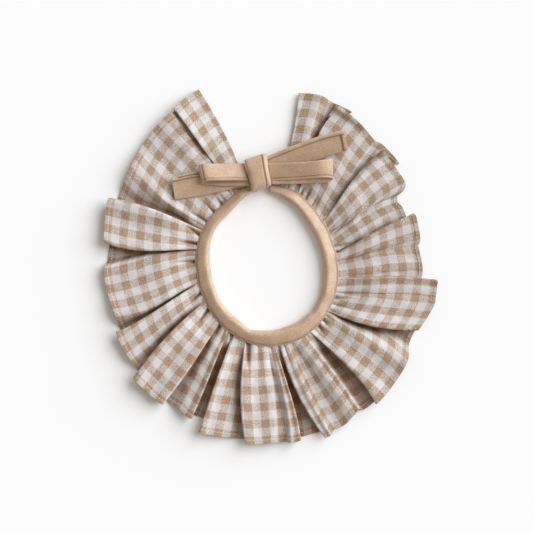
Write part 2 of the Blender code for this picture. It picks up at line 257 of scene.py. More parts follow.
# One row for each fold: its back edge and its fore edge, each by its angle at the seam,
# halfway and at the hem, its reach, its height and its tuck; then the valley that follows, by
# its dip, 1 for down to the surface, and by its reach at the hem.
FOLDS = (
    ((103.9, 107.4, 111.1, 141.8, 2.6, 0.0), (115.6, 118.3, 120.5, 136.4, 8.0, 2.4), 0.4, 134.6),
    ((119.6, 123.2, 123.8, 134.8, 6.6, -9.0), (147.6, 146.6, 146.0, 125.0, 7.0, -20.0), 1.0, 123.0),
    ((153.2, 154.2, 157.5, 128.5, 9.0, 3.0), (167.0, 173.2, 172.2, 122.8, 8.8, 3.2), 1.0, 120.0),
    ((171.0, 177.6, 181.9, 122.5, 6.4, -6.0), (191.6, 199.2, 198.6, 120.1, 7.4, -16.0), 1.0, 120.9),
    ((196.0, 202.8, 204.6, 124.2, 8.4, 3.4), (206.5, 210.8, 214.6, 125.7, 6.2, -12.0), 1.0, 126.0),
    ((212.0, 216.4, 220.9, 131.6, 9.0, 3.2), (231.0, 233.3, 233.4, 131.7, 8.2, 1.6), 1.0, 128.4),
    ((235.4, 238.0, 239.0, 127.8, 5.2, -9.0), (240.4, 243.2, 244.2, 129.8, 8.4, 1.6), 1.0, 127.2),
    ((245.2, 247.0, 248.4, 136.2, 7.8, 1.6), (250.6, 252.4, 254.4, 135.1, 5.0, -16.0), 1.0, 134.0),
    ((255.4, 259.0, 263.6, 136.2, 8.2, 2.6), (268.6, 272.0, 272.2, 135.1, 6.4, -4.0), 0.3, 135.2),
    ((273.4, 277.8, 277.8, 136.2, 8.0, -3.4), (276.4, 280.5, 281.2, 135.4, 7.8, 1.8), 1.0, 133.9),
    ((279.6, 283.6, 288.9, 138.4, 6.2, 1.6), (284.4, 287.8, 290.8, 138.0, 8.0, -3.0), 0.52, 135.6),
    ((293.2, 298.0, 299.6, 132.4, 7.6, -12.0), (299.0, 301.8, 302.6, 129.8, 6.6, -2.8), 1.0, 133.0),
    ((303.6, 308.6, 308.6, 134.6, 7.8, 1.6), (318.5, 323.6, 325.6, 129.4, 8.2, -13.0), 1.0, 124.1),
    ((323.1, 329.5, 336.7, 125.1, 8.4, 3.0), (335.4, 343.6, 346.7, 130.8, 7.2, -6.0), 0.12, 130.4),
    ((339.9, 348.4, 350.9, 130.5, 7.2, -6.0), (348.2, 353.7, 354.5, 129.1, 8.4, 1.6), 0.2, 118.6),
    ((352.2, 357.4, 358.4, 118.4, 5.2, -5.0), (359.6, 364.4, 364.6, 116.3, 5.6, -6.0), 0.15, 115.9),
    ((363.2, 368.4, 368.9, 117.8, 6.6, -6.0), (368.2, 375.8, 378.6, 118.2, 8.8, 2.4), 0.3, 112.0),
    ((371.9, 379.7, 381.6, 111.8, 5.2, -4.0), (380.8, 386.0, 385.2, 110.0, 5.8, -6.0), 0.25, 111.4),
    ((385.4, 390.1, 389.3, 120.8, 7.4, -6.0), (395.5, 403.6, 404.2, 122.4, 9.0, 15.0), 1.0, 126.6),
    ((400.6, 408.3, 409.0, 124.6, 6.0, -7.0), (424.5, 428.0, 426.2, 131.6, 8.0, 12.0), 1.0, 132.6),
    ((429.8, 432.2, 431.4, 134.0, 4.6, -9.0), (439.1, 438.3, 439.2, 131.8, 2.6, 0.0), 1.0, 129.0),
)

POCKET_DEPTH = 1.5
POCKET_TAPER = 0.4

# Dark little pockets between the gathers: angle at the seam and at the tip, length, width, depth
POCKETS = (
    (126.7, 127.1, 11.0, 1.3, 1.9),
    (135.0, 135.0, 11.0, 1.3, 1.9),
    (144.6, 146.7, 30.0, 1.6, 1.8),
    (156.8, 154.3, 12.0, 1.4, 2.2),
    (163.9, 166.2, 19.0, 1.4, 1.6),
    (177.6, 180.0, 26.0, 1.4, 1.5),
    (203.9, 208.8, 16.0, 1.5, 2.0),
    (217.9, 222.9, 17.0, 1.6, 2.4),
    (233.2, 235.4, 14.0, 1.6, 2.2),
    (244.0, 246.4, 10.0, 1.4, 2.2),
    (257.3, 261.8, 28.0, 1.7, 2.6),
    (310.7, 309.7, 9.0, 1.4, 2.4),
    (315.8, 315.0, 9.0, 1.4, 2.2),
    (333.8, 337.2, 12.0, 1.3, 2.0),
    (370.0, 368.9, 7.0, 1.3, 1.6),
    (374.4, 373.6, 15.0, 1.3, 1.5),
    (386.6, 388.5, 17.0, 1.4, 1.7),
    (412.0, 413.0, 12.0, 1.4, 1.6),
    (418.5, 419.8, 12.0, 1.4, 2.2),
    (423.4, 423.2, 10.0, 1.4, 2.2),
)

# The bow's tapes: how finely they are cut, and the roundness of their edges
TAPE_STEPS = 26
TAPE_ACROSS = 34
TAPE_EDGE_POWER = 14

# A turned edge: its soft side, the groove beside it and the slot in it, and how it runs out
LIP_BLEND = 0.5
LIP_GROOVE_ASIDE = 0.4
LIP_GROOVE_WIDTH = 0.45
LIP_GROOVE_DEPTH = 0.6
LIP_SLOT_WIDTH = 0.5
SLOT_CLEAR = 2.0
SLOT_TAPERS = (6.0, 4.0)
END_LIP_RISE = 1.1
END_LIP_GROOVE_DEPTH = 0.7
BESIDE_LIP = 0.5

# A pressed crease and the painted shade in it, and the tape's slight unevenness
LINE_WIDTH = 0.5
LINE_SHADE = 0.7
TAPE_WAVE = 0.12
TAPE_WAVE_ALONG = 5.3
TAPE_WAVE_ACROSS = 5.0

# The bow's tapes, by their stations: two opposite edge points, the height of the middle between
# them, and how much higher the first edge lies than the second
LOOP_LEFT = (
    (-16.6, 76.0, -13.4, 62.6, 9.2, -2.4),
    (-33.0, 75.6, -29.4, 62.4, 12.4, -3.4),
    (-46.4, 75.2, -43.2, 61.8, 14.6, -2.8),
    (-50.4, 74.8, -47.2, 60.6, 11.2, -0.6),
    (-46.8, 74.2, -43.6, 59.4, 8.4, 0.0),
    (-33.0, 73.6, -29.6, 58.6, 8.1, 0.0),
    (-16.0, 73.0, -12.4, 58.8, 8.1, 0.0),
)
TAIL_LEFT = (
    (-14.9, 70.8, -12.0, 59.4, 5.8, 0.0),
    (-30.0, 70.2, -27.6, 56.2, 5.8, 0.6),
    (-50.6, 69.8, -48.4, 51.4, 6.6, 2.6),
    (-71.4, 65.6, -68.8, 48.4, 7.2, 3.6),
)
LOOP_RIGHT = (
    (2.0, 75.8, 4.0, 62.6, 9.2, 2.2),
    (20.0, 76.0, 20.6, 63.4, 12.4, 4.0),
    (35.0, 76.9, 35.2, 64.3, 15.0, 3.6),
    (42.6, 78.0, 42.8, 64.7, 15.4, 3.4),
    (49.2, 79.0, 48.9, 64.2, 12.6, 2.6),
    (46.0, 76.0, 46.2, 61.8, 9.2, 0.4),
    (24.0, 73.4, 24.6, 60.4, 8.7, 0.0),
    (3.0, 73.6, 4.9, 60.2, 8.3, 0.0),
)
TAIL_RIGHT = (
    (1.0, 81.4, 3.0, 70.0, 6.8, 2.0),
    (18.0, 88.2, 22.6, 73.6, 8.2, 4.4),
    (40.0, 96.0, 44.6, 80.2, 10.2, 4.8),
    (58.4, 100.6, 61.6, 85.6, 11.8, 3.6),
)

# The knot, from its lower to its upper end: middle, half width and height of its crown
KNOT_BOTTOM = 5.7
KNOT = (
    (-3.2, 57.0, 6.6, 11.9),
    (-3.4, 58.2, 7.7, 13.9),
    (-4.3, 62.6, 7.9, 15.1),
    (-5.8, 69.6, 8.0, 15.3),
    (-7.3, 76.4, 8.4, 14.7),
    (-8.1, 80.0, 8.5, 13.3),
    (-8.4, 81.2, 7.4, 11.3),
)
KNOT_LEAN = math.radians(16.0)
KNOT_STEPS = 14
KNOT_SIDES = 96
KNOT_SIDE_POWER = 0.42
KNOT_TOP_POWER = 0.5

# The knot's turned edge: its width, soft side and rise, and the groove's place, width and depth
KNOT_LIP = 3.2
KNOT_LIP_BLEND = 0.6
KNOT_LIP_RISE = 0.55
KNOT_GROOVE_AT = 3.6
KNOT_GROOVE_WIDTH = 0.35
KNOT_GROOVE_DEPTH = 0.4

# The bow's four tapes: name, stations, solid, turned edges, turned end,
# crown and pressed creases
TAPES = (
    ("bow_loop_left", LOOP_LEFT, "loop_left", ((-1, 1.6, 0.7, 0.0),), 0.0, 0.25, ((32.6, 0.8),)),
    ("bow_tail_left", TAIL_LEFT, "tail_left", ((1, 3.4, 1.3, 2.4),), 0.0, 0.1, ()),
    ("bow_loop_right", LOOP_RIGHT, "loop_right", ((-1, 1.5, 0.6, 0.0),), 0.0, 0.25, ()),
    ("bow_tail_right", TAIL_RIGHT, "tail_right", ((1, 2.6, 1.3, 0.0),), 2.8, 0.1, ()),
)


# Plain helpers

def ease(t):
    """A smooth step from 0 to 1."""
    t = np.clip(t, 0.0, 1.0)
    return t * t * (3.0 - 2.0 * t)


def unit(vectors):
    return vectors / np.maximum(np.linalg.norm(vectors, axis=-1, keepdims=True), 1e-12)


def spline_at(points, index, t):
    """Points on the smooth curve through the points: span numbers and places within them."""
    last = len(points) - 1
    t = np.asarray(t)[:, None]
    before = points[np.maximum(index - 1, 0)]
    start = points[index]
    end = points[index + 1]
    after = points[np.minimum(index + 2, last)]
    bend = (2.0 * before - 5.0 * start + 4.0 * end - after) * t * t
    twist = (3.0 * start - before - 3.0 * end + after) * t ** 3
    return 0.5 * (2.0 * start + (end - before) * t + bend + twist)


def spline(points, steps):
    """The same curve, cut into so many equal steps for each span."""
    points = np.asarray(points, float)
    count = (len(points) - 1) * steps
    place = np.arange(count + 1) / steps
    index = np.minimum(place.astype(int), len(points) - 2)
    return spline_at(points, index, place - index)


NECK_LINE = spline(NECK, CURVE_STEPS)


def neck_outer(angle):
    return np.interp(angle, NECK_LINE[:, 0], NECK_LINE[:, 1])


def neck_width(angle):
    return np.interp(angle, NECK_LINE[:, 0], NECK_LINE[:, 2])


# The ruffle

def along_fold(edge, out):
    """The angle of a fold's edge, on a curve through its three given angles."""
    seam, halfway, hem = edge[:3]
    return (
        seam * (1.0 - out) * (1.0 - 2.0 * out)
        + halfway * 4.0 * out * (1.0 - out)
        + hem * out * (2.0 * out - 1.0)
    )


def valley_height(fold, following, lift, out):
    """The level between two folds: a shallow valley is still pinched in beside the seam."""
    level = min(fold[1][4], following[0][4]) * lift
    rise = (1.0 - ease(out / VALLEY_REACH)) * VALLEY_RISE
    floor = 0.5 * CLOTH + VALLEY_CLEARANCE + rise
    dip = fold[2] + max(LEAST_DIP_AT_SEAM - fold[2], 0.0) * (1.0 - ease(out / DIP_REACH))
    return level + (floor - level) * dip


def foot_shift(tuck, other, gap, out):
    """How far a fold's foot lies in under its edge, or, below 0, out along a slope from it."""
    if tuck > 0.0:
        near = min(tuck, EDGE_TUCK) * ease(out / TUCK_REACH)
        return near + max(tuck - EDGE_TUCK, 0.0) * out ** 3
    room = gap * (SLOPE_SHARE if other > 0.0 else SHARED_SLOPE)
    return max(tuck, -room)


def section_keys(out):
    """The turning points of the section at one distance out: angle, reach and height of each."""
    lift = LIFT_AT_SEAM + LIFT_GAIN * ease(out / LIFT_REACH)
    keys = []
    for index, (back, fore, dip, _) in enumerate(FOLDS):
        back_angle = along_fold(back, out)
        fore_angle = along_fold(fore, out)
        seam_radius = neck_outer(0.5 * (back_angle + fore_angle))
        degree = math.radians(seam_radius + out * (back[3] - seam_radius))
        before = FOLDS[index - 1] if index else None
        after = FOLDS[index + 1] if index + 1 < len(FOLDS) else None
        width = (fore_angle - back_angle) * degree
        sag = CROWN_SHARE - CROWN_SAG * ease((width - SAG_FROM_WIDTH) / SAG_OVER_WIDTH)
        crown_height = 0.5 * (back[4] + fore[4]) * lift * sag
        crown_reach = 0.5 * (back[3] + fore[3]) + CROWN_BULGE
        if before:
            gap = (back_angle - along_fold(before[1], out)) * degree
            shift = foot_shift(back[5], before[1][5], gap, out)
            low = valley_height(before, FOLDS[index], lift, out)
            keys.append((back_angle + shift / degree, before[3], low))
        keys.append((back_angle, back[3], back[4] * lift))
        keys.append((0.5 * (back_angle + fore_angle), crown_reach, crown_height))
        keys.append((fore_angle, fore[3], fore[4] * lift))
        if after:
            gap = (along_fold(after[0], out) - fore_angle) * degree
            shift = foot_shift(fore[5], after[0][5], gap, out)
            low = valley_height(FOLDS[index], after, lift, out)
            keys.append((fore_angle - shift / degree, FOLDS[index][3], low))
    return np.array(keys)


def column_places():
    """Where each column lies on the section: its span and its place in it, evenly at the hem."""
    keys = section_keys(COLUMNS_AT)
    turn = np.radians(keys[:, 0])
    places = [HEM_RADIUS * np.cos(turn), HEM_RADIUS * np.sin(turn), keys[:, 2]]
    lengths = np.linalg.norm(np.diff(np.stack(places, axis=1), axis=0), axis=1)
    lengths = lengths + SHORT_SPAN_EXTRA
    share = np.round(lengths / lengths.sum() * COLUMNS).astype(int)
    share = np.maximum(share, LEAST_COLUMNS)
    index = np.concatenate([np.full(count, span) for span, count in enumerate(share)])
    t = np.concatenate([np.arange(count) / count for count in share])
    return np.append(index, len(share) - 1), np.append(t, 1.0)


def rows_out():
    """Distances out from the seam, closer together at the seam and at the hem."""
    hem = HEM_WIDTH / CLOTH_DEPTH
    inner = np.linspace(0.0, 1.0, ROWS_OUT - len(HEM_ROWS)) ** ROW_POWER
    inner = inner * (1.0 - HEM_ROWS_FROM * hem)
    band = 1.0 - hem * np.array(HEM_ROWS)
    return np.concatenate([inner, band])


def bow_weight(angle, radius):
    """1 where the bow lies on the cloth, 0 well away from it."""
    last, turn_fade, reach, reach_fade = PRESS_LEFT
    left = ease((last - angle) / turn_fade) * ease((reach - radius) / reach_fade)
    first, turn_fade, reach, reach_fade = PRESS_RIGHT
    right = ease((angle - first) / turn_fade) * ease((reach - radius) / reach_fade)
    return np.maximum(left, right)


def soft_min(a, b, blend):
    """The smaller of the two, with a smooth passage from one to the other."""
    share = np.clip(0.5 + 0.5 * (b - a) / blend, 0.0, 1.0)
    return b + (a - b) * share - blend * share * (1.0 - share)


def gather_puffs(seam_angle, run):
    """Uneven little puffs between the stitches of the gathering, dying out along the cloth."""
    even = np.radians(seam_angle) * NECK_RADIUS / GATHER_PITCH
    place = even
    for size, rate, phase in GATHER_WAVES:
        place = place + size * np.sin(rate * even + phase)
    # One uneven number from 0 to 1 for each gather
    uneven = np.sin(np.floor(place) * HASH_RATE) * HASH_SIZE
    uneven = uneven - np.floor(uneven)
    length = GATHER_SHORTEST + GATHER_LONGER * uneven ** GATHER_LENGTH_POWER
    puff = np.abs(np.sin(np.pi * place)) ** GATHER_ROUND - GATHER_MIDDLE
    rise = GATHER_RISE * (GATHER_LEAST_SHARE + GATHER_MORE_SHARE * uneven)
    return rise * puff * ease(1.0 - run / length) ** GATHER_FADE


def pocket_dips(angle, run):
    """The dark pockets beside the seam."""
    total = np.zeros_like(angle)
    for start, tip, length, width, depth in POCKETS:
        t = np.clip(run / length, 0.0, 1.0)
        line = start + (tip - start) * t
        aside = np.radians(angle - line) * (NECK_RADIUS + run)
        share = aside / (width * (1.0 - POCKET_TAPER * t))
        total += POCKET_DEPTH * depth * np.exp(-(share ** 2)) * (1.0 - ease(t))
    return total


def buckles(u, v):
    """The slight unevenness of handled cloth."""
    total = np.zeros_like(u)
    for rise, along, across, phase in BUCKLES:
        total += rise * np.sin(2.0 * math.pi * (u / along + v / across) + phase)
    return total


def ruffle_sheet():
    """The middle of the cloth and its pattern coordinates, along the strip and in from the hem."""
    index, t = column_places()
    outs = rows_out()
    section = np.array([spline_at(section_keys(out), index, t) for out in outs])
    angle, reach, height = section[..., 0], section[..., 1], section[..., 2]
    out = outs[:, None]
    seam = neck_outer(angle) - SEAM_INSET
    radius = seam + out * (reach - seam)
    run = np.maximum(radius - neck_outer(angle), 0.0)

    pull = ease(1.0 - out / SEAM_REACH)
    base = SEAM_MIDDLE + (height - SEAM_LEVEL) * SEAM_HEIGHT_SHARE
    height = height + (base - height) * pull
    turn = np.radians(angle)
    plain = np.stack([radius * np.cos(turn), radius * np.sin(turn), height], axis=-1)
    u, v = pattern_places(plain, index, out)

    seam_angle = np.broadcast_to(angle[0], angle.shape)
    height = height + gather_puffs(seam_angle, run) - pocket_dips(angle, run)
    height = height + buckles(u, v) * ease(run / BUCKLES_FROM)
    most = PRESSED_HEIGHT + UNPRESSED_ROOM * (1.0 - bow_weight(angle, radius))
    height = soft_min(height, most, PRESS_BLEND)
    least = 0.5 * CLOTH + REST_CLEARANCE
    height = -soft_min(-height, -least, REST_BLEND)
    sheet = np.stack([radius * np.cos(turn), radius * np.sin(turn), height], axis=-1)
    return sheet, u, v


def pattern_places(sheet, index, out):
    """Distances along the strip and in from the hem, straight on each fold's own panel."""
    steps = np.linalg.norm(np.diff(sheet, axis=1), axis=2)
    along = np.concatenate([np.zeros((len(sheet), 1)), np.cumsum(steps, axis=1)], axis=1)
    down = np.linalg.norm(np.diff(sheet, axis=0), axis=2)
    v = np.concatenate([np.cumsum(down[::-1], axis=0)[::-1], np.zeros((1, sheet.shape[1]))])
    spread = 1.0 + GATHERED_SPREAD * (1.0 - ease(out / GATHERED_REACH))
    # The first fold has no back foot, so it has one span fewer than the others.
    fold = (index + 1) // SPANS_A_FOLD
    u = np.zeros_like(along)
    origin = 0.0
    for number in range(len(FOLDS)):
        columns = np.flatnonzero(fold == number)
        crown = np.flatnonzero(index == SPANS_A_FOLD * number + 1)[0]
        own = (along - along[:, crown:crown + 1]) * spread
        if number:
            edge = columns[0]
            origin = origin + before[-1, edge] - own[-1, edge]
        u[:, columns] = own[:, columns] + origin
        before = own
    return u, v


def grid_faces(rows, columns):
    """Quads of one sheet, by their corners' numbers, and those of a second sheet below it."""
    i, j = np.meshgrid(np.arange(rows - 1), np.arange(columns - 1), indexing="ij")
    a = (i * columns + j).ravel()
    upper = np.stack([a, a + columns, a + columns + 1, a + 1], axis=1)
    lower = upper[:, ::-1] + rows * columns
    return upper, lower


def rim_faces(rows, columns):
    """Quads that join the two sheets round their edge."""
    under = rows * columns
    first = np.arange(columns - 1)
    last = first + (rows - 1) * columns
    left = np.arange(rows - 1) * columns
    right = left + columns - 1
    return np.concatenate([
        np.stack([first, first + 1, first + 1 + under, first + under], axis=1),
        np.stack([last + 1, last, last + under, last + 1 + under], axis=1),
        np.stack([left + columns, left, left + under, left + columns + under], axis=1),
        np.stack([right, right + columns, right + columns + under, right + under], axis=1),
    ])


def new_mesh(name, points, faces, corner_uv, look):
    """A smooth mesh object in the frame, from millimetres about the middle of the neck."""
    placed = (np.asarray(points) + (NECK_AT[0], NECK_AT[1], 0.0)) * MM
    mesh = bpy.data.meshes.new(name)
    mesh.from_pydata(placed.tolist(), [], [list(map(int, face)) for face in faces])
    layer = mesh.uv_layers.new(name="cloth")
    layer.data.foreach_set("uv", np.asarray(corner_uv, float).ravel())
    mesh.materials.append(look)
    mesh.shade_smooth()
    made = bpy.data.objects.new(name, mesh)
    bpy.context.scene.collection.objects.link(made)
    return made


def mark_painted_shade(piece, depths):
    """Keeps how much painted shade each point gets, deep in a fold's crease or a groove, which the
    materials read.
    """
    layer = piece.data.attributes.new("crease", "FLOAT", "POINT")
    layer.data.foreach_set("value", np.asarray(depths, np.float32).ravel())


def crease_shade(sheet):
    """How closed in each place is by the cloth on either side of it, from 0 to 1: its share of
    painted crease shade.
    """
    columns = sheet.shape[1]
    closed = np.zeros(sheet.shape[:2])
    for way in (-1, 1):
        steepest = np.zeros_like(closed)
        for step in range(1, CREASE_REACH + 1):
            other = np.clip(np.arange(columns) + way * step, 0, columns - 1)
            apart = sheet[:, other] - sheet
            level = np.hypot(apart[..., 0], apart[..., 1])
            level = np.maximum(level, CREASE_LEAST_APART)
            steepest = np.maximum(steepest, apart[..., 2] / level)
        closed += 0.5 * np.sin(np.arctan(steepest)) ** 2
    return ease((closed - CREASE_FROM) / (CREASE_FULL - CREASE_FROM))


def make_ruffle(look):
    """The cloth with its hems, and what its stitches need: its top, its normals and its rows."""
    sheet, u, v = ruffle_sheet()
    rows, columns = v.shape
    normal = unit(np.cross(np.gradient(sheet, axis=0), np.gradient(sheet, axis=1)))
    end_run = np.minimum(np.arange(columns), np.arange(columns)[::-1]) * COLUMN_WIDTH
    long_hem = ease((HEM_WIDTH - v) / HEM_BLEND + 0.5)
    end_hems = ease((HEM_WIDTH - end_run[None, :]) / END_HEM_BLEND + 0.5)
    hem = np.maximum(long_hem, end_hems)
    half = 0.5 * (CLOTH + HEM_EXTRA * hem)[..., None]
    upper = sheet + normal * half
    lower = sheet - normal * half
    lower[..., 2] = np.maximum(lower[..., 2], 0.0)
    upper[..., 2] = np.maximum(upper[..., 2], LEAST_TOP)
    top, bottom = grid_faces(rows, columns)
    rim = rim_faces(rows, columns)
    faces = np.concatenate([top, bottom, rim])
    # A face takes its pattern from its own fold, so that the checks stay square on each panel.
    flat_u = u.ravel()
    flat_v = v.ravel()
    corners = faces % (rows * columns)
    corner_u = flat_u[corners]
    corner_v = flat_v[corners]
    jump = np.flatnonzero(np.ptp(corner_u, axis=1) > PATTERN_JUMP)
    step = np.diff(u, axis=1)
    for face in jump:
        column = corners[face] % columns
        row = corners[face] // columns
        low = column == column.min()
        next_column = column.min() + 1
        if next_column + 1 < columns:
            own = step[row[low], next_column]
            corner_u[face, low] = u[row[low], next_column] - own
    uv = np.stack([corner_u, corner_v], axis=-1)
    points = np.concatenate([upper.reshape(-1, 3), lower.reshape(-1, 3)])
    piece = new_mesh("ruffle_cloth", points, faces, uv, look)
    # Painted shade for the folds' creases, darker where the cloth closes in more.
    mark_painted_shade(piece, np.tile(crease_shade(sheet).ravel(), 2))
    return piece, upper, normal, v


def capsule(sides=6, rings=4):
    """A unit stitch along X: its points and faces."""
    points = [(-0.5, 0.0, 0.0)]
    for ring in range(1, rings):
        swing = math.pi * ring / rings
        for side in range(sides):
            turn = 2.0 * math.pi * side / sides
            wide = 0.5 * math.sin(swing) ** STITCH_ROUND
            points.append((-0.5 * math.cos(swing), wide * math.cos(turn), wide * math.sin(turn)))
    points.append((0.5, 0.0, 0.0))
    faces = []
    for side in range(sides):
        following = (side + 1) % sides
        faces.append((0, 1 + following, 1 + side))
        end = 1 + (rings - 2) * sides
        faces.append((len(points) - 1, end + side, end + following))
        for ring in range(rings - 2):
            a = 1 + ring * sides + side
            b = 1 + ring * sides + following
            faces.append((a, b, b + sides, a + sides))
    return np.array(points), faces


def make_stitches(name, line, normals, stitch, look):
    """Small stitches laid end to end along a line on a surface."""
    pitch, length, width = stitch
    steps = np.linalg.norm(np.diff(line, axis=0), axis=1)
    run = np.concatenate([[0.0], np.cumsum(steps)])
    places = np.arange(0.5 * pitch, run[-1] - 0.5 * pitch, pitch)
    shape, shape_faces = capsule()
    points = []
    faces = []
    for place in places:
        a = np.array([np.interp(place - 0.5 * length, run, line[:, k]) for k in range(3)])
        b = np.array([np.interp(place + 0.5 * length, run, line[:, k]) for k in range(3)])
        up = unit(np.array([np.interp(place, run, normals[:, k]) for k in range(3)]))
        along = b - a
        if np.linalg.norm(along) < 0.5 * length:
            continue
        side = unit(np.cross(up, along))
        up = unit(np.cross(along, side))
        local = 0.5 * (a + b) + up * STITCH_LIFT + shape[:, :1] * along
        local = local + shape[:, 1:2] * side * width
        local = local + shape[:, 2:] * up * width * STITCH_FLAT
        faces.extend([tuple(corner + len(points) for corner in face) for face in shape_faces])
        points.extend(local)
    uv = np.zeros((sum(len(face) for face in faces), 2))
    return new_mesh(name, np.array(points), faces, uv, look)


# The neck binding and the bow

def closed_tube(name, rings, look):
    """A closed mesh through rings of points, its ends capped, with pattern places in mm."""
    rings = np.asarray(rings, float)
    count, sides = rings.shape[:2]
    ahead = np.linalg.norm(np.diff(rings.mean(axis=1), axis=0), axis=1)
    along = np.concatenate([[0.0], np.cumsum(ahead)])
    hoop = np.linalg.norm(np.roll(rings, -1, axis=1) - rings, axis=2).mean(axis=0)
    around = np.concatenate([[0.0], np.cumsum(hoop)])
    caps = [rings[:1].mean(axis=1), rings[-1:].mean(axis=1)]
    points = np.concatenate([rings.reshape(-1, 3), *caps])
    faces = []
    uv = []
    for i in range(count - 1):
        for k in range(sides):
            a = i * sides + k
            b = i * sides + (k + 1) % sides
            faces.append((a, b, b + sides, a + sides))
            uv.extend(((along[i], around[k]), (along[i], around[k + 1])))
            uv.extend(((along[i + 1], around[k + 1]), (along[i + 1], around[k])))
    first = count * sides
    last = (count - 1) * sides
    for k in range(sides):
        following = (k + 1) % sides
        faces.append((first, following, k))
        faces.append((first + 1, last + k, last + following))
        uv.extend([(0.0, 0.0)] * 6)
    return new_mesh(name, points, faces, uv, look)


def binding_profile(sides):
    """The binding's section, evenly round it: places across, shares of the height, and its top."""
    closed = np.array(BINDING_PROFILE + BINDING_PROFILE[:1], float)
    line = spline(closed, CURVE_STEPS)
    run = np.concatenate([[0.0], np.cumsum(np.linalg.norm(np.diff(line, axis=0), axis=1))])
    places = run[-1] * (np.arange(sides) + 0.5) / sides
    across = np.interp(places, run, line[:, 0])
    share = np.clip(np.interp(places, run, line[:, 1]), 0.0, 1.0)
    return across, share, (share > BINDING_TOP_FROM).astype(float)


def make_binding(look):
    """A rolled tape with a flat underside, drawn in a little by the gathers under its edge."""
    start, end = NECK[0][0] - UNDER_KNOT, NECK[-1][0]
    angle = np.linspace(start, end, BINDING_STATIONS)
    outer = neck_outer(angle)
    width = neck_width(angle)
    near_end = np.minimum(angle - start, end - angle)
    height = BINDING_HEIGHT * (END_HEIGHT + END_HEIGHT_GAIN * ease(near_end / END_TAPER))
    place = np.radians(angle) * NECK_RADIUS
    uneven = sum(size * np.sin(place / pitch + phase) for size, pitch, phase in BINDING_WAVES)
    across, share, top = binding_profile(BINDING_SIDES)
    drawn = np.interp(angle, *np.transpose(BINDING_INNER))
    radius = outer[:, None] - 0.5 * width[:, None] * (1.0 + across)
    radius += uneven[:, None] * (across < UNEVEN_TO)
    radius -= 0.5 * drawn[:, None] * (1.0 + across)
    level = height[:, None] * share
    groove = np.exp(-(((across - STITCH_ACROSS) / STITCH_GROOVE_WIDTH) ** 2)) * top
    level = np.maximum(level - STITCH_GROOVE_DEPTH * groove, 0.0)
    turn = np.radians(angle)[:, None]
    rings = np.stack([radius * np.cos(turn), radius * np.sin(turn), level], axis=-1)
    piece = closed_tube("binding_roll", rings, look)
    # Painted shade in the stitching groove.
    mark = np.minimum(STITCH_GROOVE_SHADE * groove, 1.0)
    mark_painted_shade(piece, np.append(np.tile(mark, BINDING_STATIONS), (0.0, 0.0)))
    on_top = np.where(top > 0.0, np.abs(across - STITCH_ACROSS), np.inf)
    stitch_side = int(np.argmin(on_top))
    line = rings[:, stitch_side] + (0.0, 0.0, STITCH_LINE_LIFT)
    normals = unit(rings[:, stitch_side] - rings.mean(axis=1))
    stitched = slice(UNSTITCHED_STATIONS, -UNSTITCHED_STATIONS)
    return piece, line[stitched], normals[stitched]


def lip(across, width, at, size, rise, slot):
    """A turned edge: a raised band beside one edge of a tape, a groove inside it, a slot in it, and
    where shade is painted in the groove and slot.
    """
    inward = (0.5 - at * across) * width
    band = ease((size - inward) / LIP_BLEND + 0.5)
    groove = np.exp(-(((inward - size - LIP_GROOVE_ASIDE) / LIP_GROOVE_WIDTH) ** 2))
    opening = np.exp(-(((inward - 0.5 * size) / LIP_SLOT_WIDTH) ** 2))
    shape = rise * band - LIP_GROOVE_DEPTH * groove - slot * opening
    return shape, np.maximum(groove, opening * np.minimum(slot, 1.0))


